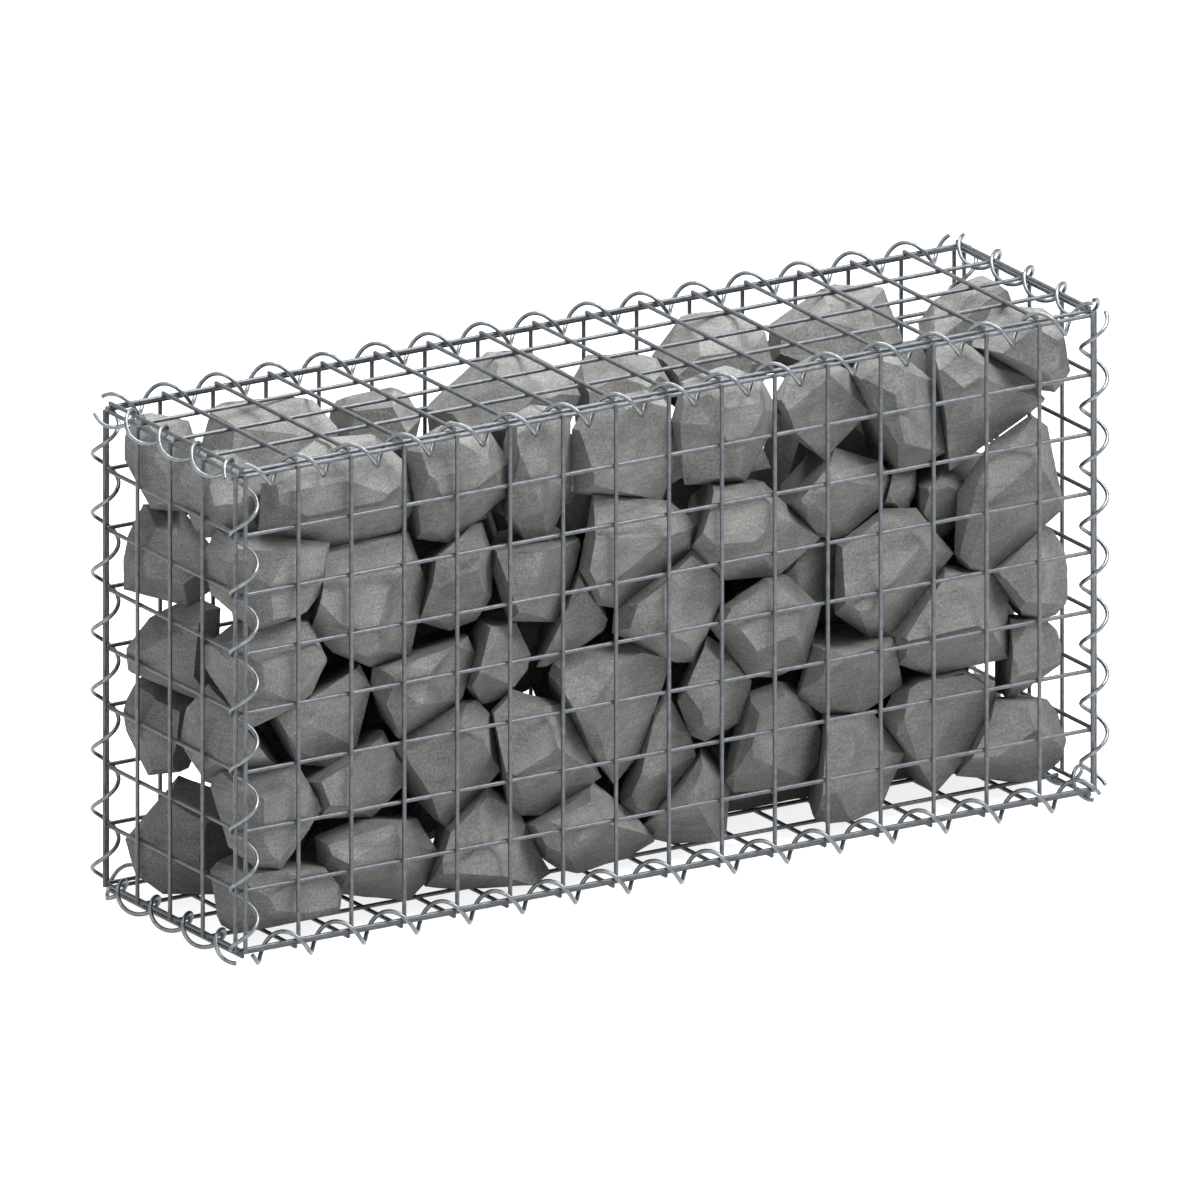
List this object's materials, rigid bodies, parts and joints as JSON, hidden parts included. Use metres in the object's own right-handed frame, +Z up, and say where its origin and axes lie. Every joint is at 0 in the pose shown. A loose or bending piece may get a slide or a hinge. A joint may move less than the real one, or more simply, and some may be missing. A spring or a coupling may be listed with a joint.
{
  "type": "gabion wall",
  "caption": "Closed welded-mesh basket, laced along its edges with wire spirals and filled with broken stone, for a low garden or retaining wall.",
  "frame": {"origin": "on the ground, under the middle of the basket", "axes": "+X along the length, +Y from the front to the back, +Z up"},
  "size_m": [1.0436, 0.2962, 0.5325],
  "materials": {
    "mesh_wire": "zinc-coated steel wire, satin",
    "spiral_wire": "zinc-coated steel wire, bright",
    "broken_stone": "rough broken faces"
  },
  "bodies": {
    "root": {"back_bottom_spiral": "spiral_wire", "back_left_upright_spiral": "spiral_wire", "back_mesh_panel": "mesh_wire", "back_right_upright_spiral": "spiral_wire", "back_stones_course_1": "broken_stone", "back_stones_course_2": "broken_stone", "back_stones_course_3": "broken_stone", "back_stones_course_4": "broken_stone", "back_stones_course_5": "broken_stone", "back_top_spiral": "spiral_wire", "base_mesh_panel": "mesh_wire", "front_bottom_spiral": "spiral_wire", "front_left_upright_spiral": "spiral_wire", "front_mesh_panel": "mesh_wire", "front_right_upright_spiral": "spiral_wire", "front_stones_course_1": "broken_stone", "front_stones_course_2": "broken_stone", "front_stones_course_3": "broken_stone", "front_stones_course_4": "broken_stone", "front_stones_course_5": "broken_stone", "front_top_spiral": "spiral_wire", "left_bottom_spiral": "spiral_wire", "left_end_mesh_panel": "mesh_wire", "left_top_spiral": "spiral_wire", "lid_mesh_panel": "mesh_wire", "right_bottom_spiral": "spiral_wire", "right_end_mesh_panel": "mesh_wire", "right_top_spiral": "spiral_wire"}
  },
  "joints": []
}
